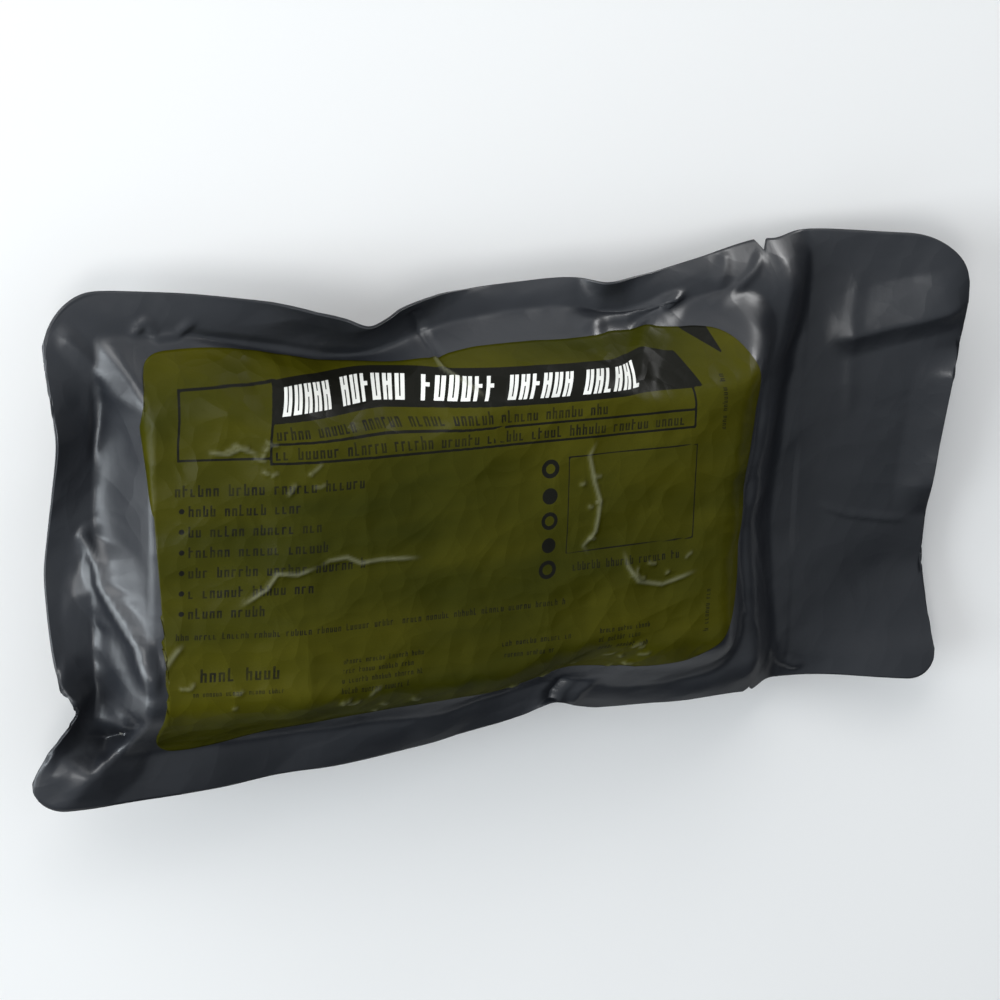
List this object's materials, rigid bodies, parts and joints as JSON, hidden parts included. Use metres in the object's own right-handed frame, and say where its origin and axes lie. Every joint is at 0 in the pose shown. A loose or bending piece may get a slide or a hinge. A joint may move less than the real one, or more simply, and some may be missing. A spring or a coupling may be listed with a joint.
{
  "type": "vacuum-packed trauma bandage",
  "caption": "Rolled trauma bandage vacuum-sealed in a dark laminate pouch with an olive label, wavy heat-sealed flanges, tear notches and a free tail.",
  "frame": {"origin": "middle of the flat back, on the plane that the pack lies on", "axes": "+X towards the free tail, +Y towards the upper flange, +Z out of the label"},
  "size_m": [0.1691, 0.0828, 0.0343],
  "materials": {
    "film": "glossy laminate film, charcoal grey",
    "label": "satin printed film, olive green",
    "bandage": "woven elastic bandage, off-white"
  },
  "bodies": {
    "root": {"front_film": "film", "back_film": "film", "label": "label", "bandage_roll": "bandage"}
  },
  "joints": []
}
